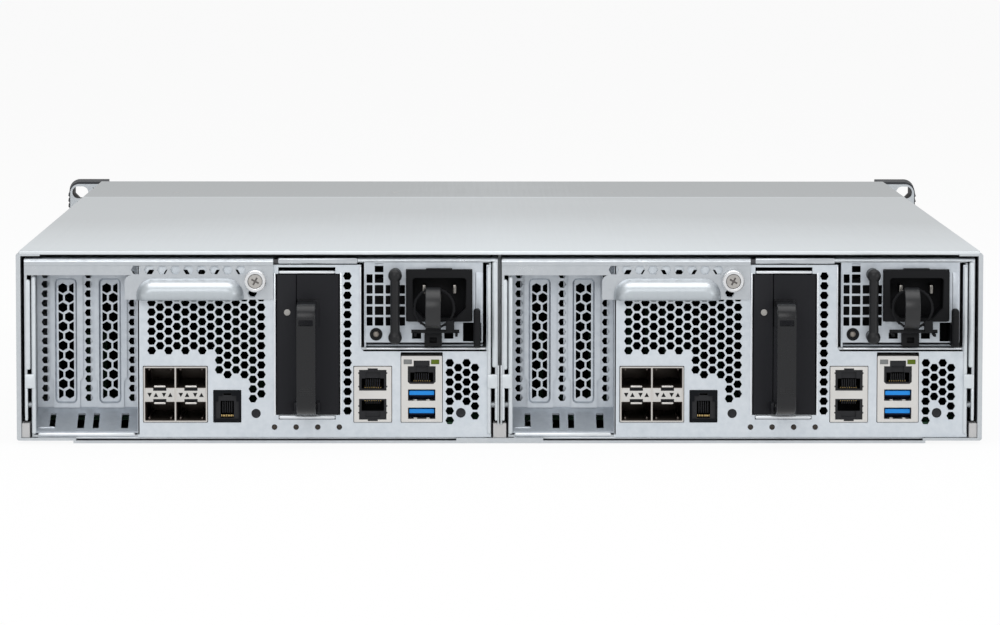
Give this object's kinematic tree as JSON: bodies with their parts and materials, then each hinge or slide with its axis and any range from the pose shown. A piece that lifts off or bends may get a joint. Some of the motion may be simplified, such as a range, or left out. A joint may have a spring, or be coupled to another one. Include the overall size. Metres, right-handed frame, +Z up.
{
  "type": "all-flash storage server",
  "caption": "Two-unit rack chassis with twin hot-swap controllers, power supplies and batteries at the rear and a row of upright drive trays at the front.",
  "frame": {"origin": "middle of the floor's underside, on the surface that the unit rests on", "axes": "+X right as seen from the rear, +Y from the rear panels to the drive side, +Z up"},
  "size_m": [0.4826, 0.6015, 0.0887],
  "materials": {
    "zinc": "galvanised sheet with a fine mottle",
    "zinc_cover": "galvanised sheet, smooth",
    "zinc_panel": "galvanised sheet, bright",
    "handle_steel": "plated sheet, satin",
    "nickel": "bright nickel plating",
    "shell_steel": "tinned shell",
    "black_plastic": "moulded, fine grain",
    "dark_plastic": "moulded, fine grain",
    "grey_plastic": "moulded, satin",
    "board_green": "coated laminate",
    "drive_shell": "cast shell, satin"
  },
  "bodies": {
    "chassis": {"chassis_base": "zinc", "top_cover": "zinc_cover", "front_cover": "zinc_cover", "cover_screws": "shell_steel", "catch_blocks": "grey_plastic", "midplane_board": "board_green", "drive_cage": "zinc", "rack_ear_left": "zinc", "rack_ear_right": "zinc", "ear_cap_left": "dark_plastic", "ear_cap_right": "dark_plastic", "drive_sleds_02_24": "dark_plastic", "drive_latches_02_24": "black_plastic", "solid_state_drives_02_24": "drive_shell"},
    "canister_a": {"controller_tray_a": "zinc_panel", "controller_cover_a": "zinc_cover", "slot_plate_a": "zinc_panel", "slot_blanks_a": "zinc_panel", "sfp_cage_a": "shell_steel", "console_jack_a": "black_plastic", "lan_stack_a": "shell_steel", "lan_usb_stack_a": "shell_steel", "main_board_a": "board_green", "cooling_fans_a": "black_plastic"},
    "bail_a": {"bail_handle_a": "handle_steel"},
    "psu_latch_a": {"psu_latch_a": "black_plastic"},
    "cable_strap_a": {"cable_strap_a": "black_plastic"},
    "power_button_a": {"power_button_a": "black_plastic"},
    "reset_button_a": {"reset_button_a": "black_plastic"},
    "battery_a": {"battery_module_a": "black_plastic"},
    "psu_a": {"psu_case_a": "zinc_panel", "psu_inlet_a": "black_plastic", "psu_handle_a": "black_plastic"},
    "screw_a": {"thumbscrew_a": "nickel"},
    "battery_lever_a": {"battery_lever_a": "black_plastic"},
    "canister_b": {"controller_tray_b": "zinc_panel", "controller_cover_b": "zinc_cover", "slot_plate_b": "zinc_panel", "slot_blanks_b": "zinc_panel", "sfp_cage_b": "shell_steel", "console_jack_b": "black_plastic", "lan_stack_b": "shell_steel", "lan_usb_stack_b": "shell_steel", "main_board_b": "board_green", "cooling_fans_b": "black_plastic"},
    "bail_b": {"bail_handle_b": "handle_steel"},
    "psu_latch_b": {"psu_latch_b": "black_plastic"},
    "cable_strap_b": {"cable_strap_b": "black_plastic"},
    "power_button_b": {"power_button_b": "black_plastic"},
    "reset_button_b": {"reset_button_b": "black_plastic"},
    "battery_b": {"battery_module_b": "black_plastic"},
    "psu_b": {"psu_case_b": "zinc_panel", "psu_inlet_b": "black_plastic", "psu_handle_b": "black_plastic"},
    "screw_b": {"thumbscrew_b": "nickel"},
    "battery_lever_b": {"battery_lever_b": "black_plastic"},
    "drive_01": {"drive_sled_01": "dark_plastic", "solid_state_drive_01": "drive_shell"},
    "drive_lever_01": {"drive_lever_01": "black_plastic"},
    "drive_button_01": {"drive_button_01": "grey_plastic"}
  },
  "joints": [
    {"name": "canister_slide_a", "type": "slide", "parent": "chassis", "child": "canister_a", "axis": [0, -1, 0], "range_m": [0, 0.38]},
    {"name": "bail_swing_a", "type": "hinge", "parent": "canister_a", "child": "bail_a", "pos_m": [-0.10956, -0.269, 0.0173], "axis": [1, 0, 0], "range_deg": [0, 92]},
    {"name": "screw_release_a", "type": "slide", "parent": "bail_a", "child": "screw_a", "axis": [0, -1, 0], "range_m": [0, 0.003]},
    {"name": "battery_slide_a", "type": "slide", "parent": "canister_a", "child": "battery_a", "axis": [0, -1, 0], "range_m": [0, 0.105]},
    {"name": "battery_lever_turn_a", "type": "hinge", "parent": "battery_a", "child": "battery_lever_a", "pos_m": [-0.0885, -0.2767, 0.0166], "axis": [1, 0, 0], "range_deg": [0, 60]},
    {"name": "psu_slide_a", "type": "slide", "parent": "canister_a", "child": "psu_a", "axis": [0, -1, 0], "range_m": [0, 0.185]},
    {"name": "psu_latch_squeeze_a", "type": "hinge", "parent": "psu_a", "child": "psu_latch_a", "pos_m": [-0.0105, -0.261, 0.0503], "axis": [0, 0, -1], "range_deg": [0, 6], "stiffness_Nm_per_rad": 0.05},
    {"name": "cable_strap_swing_a", "type": "hinge", "parent": "psu_a", "child": "cable_strap_a", "pos_m": [-0.0306, -0.282, 0.0523], "axis": [1, 0, 0], "range_deg": [0, 80]},
    {"name": "power_press_a", "type": "slide", "parent": "canister_a", "child": "power_button_a", "axis": [0, 1, 0], "range_m": [0, 0.0005], "stiffness_N_per_m": 400},
    {"name": "reset_press_a", "type": "slide", "parent": "canister_a", "child": "reset_button_a", "axis": [0, 1, 0], "range_m": [0, 0.0005], "stiffness_N_per_m": 400},
    {"name": "canister_slide_b", "type": "slide", "parent": "chassis", "child": "canister_b", "axis": [0, -1, 0], "range_m": [0, 0.38]},
    {"name": "bail_swing_b", "type": "hinge", "parent": "canister_b", "child": "bail_b", "pos_m": [0.10956, -0.269, 0.0173], "axis": [1, 0, 0], "range_deg": [0, 92]},
    {"name": "screw_release_b", "type": "slide", "parent": "bail_b", "child": "screw_b", "axis": [0, -1, 0], "range_m": [0, 0.003]},
    {"name": "battery_slide_b", "type": "slide", "parent": "canister_b", "child": "battery_b", "axis": [0, -1, 0], "range_m": [0, 0.105]},
    {"name": "battery_lever_turn_b", "type": "hinge", "parent": "battery_b", "child": "battery_lever_b", "pos_m": [0.13062, -0.2767, 0.0166], "axis": [1, 0, 0], "range_deg": [0, 60]},
    {"name": "psu_slide_b", "type": "slide", "parent": "canister_b", "child": "psu_b", "axis": [0, -1, 0], "range_m": [0, 0.185]},
    {"name": "psu_latch_squeeze_b", "type": "hinge", "parent": "psu_b", "child": "psu_latch_b", "pos_m": [0.20862, -0.261, 0.0503], "axis": [0, 0, -1], "range_deg": [0, 6], "stiffness_Nm_per_rad": 0.05},
    {"name": "cable_strap_swing_b", "type": "hinge", "parent": "psu_b", "child": "cable_strap_b", "pos_m": [0.18852, -0.282, 0.0523], "axis": [1, 0, 0], "range_deg": [0, 80]},
    {"name": "power_press_b", "type": "slide", "parent": "canister_b", "child": "power_button_b", "axis": [0, 1, 0], "range_m": [0, 0.0005], "stiffness_N_per_m": 400},
    {"name": "reset_press_b", "type": "slide", "parent": "canister_b", "child": "reset_button_b", "axis": [0, 1, 0], "range_m": [0, 0.0005], "stiffness_N_per_m": 400},
    {"name": "drive_slide_01", "type": "slide", "parent": "chassis", "child": "drive_01", "axis": [0, 1, 0], "range_m": [0, 0.15]},
    {"name": "drive_lever_turn_01", "type": "hinge", "parent": "drive_01", "child": "drive_lever_01", "pos_m": [-0.207, 0.2925, 0.012], "axis": [-1, 0, 0], "range_deg": [0, 45]},
    {"name": "drive_button_press_01", "type": "slide", "parent": "drive_01", "child": "drive_button_01", "axis": [0, -1, 0], "range_m": [0, 0.0015], "stiffness_N_per_m": 400}
  ]
}
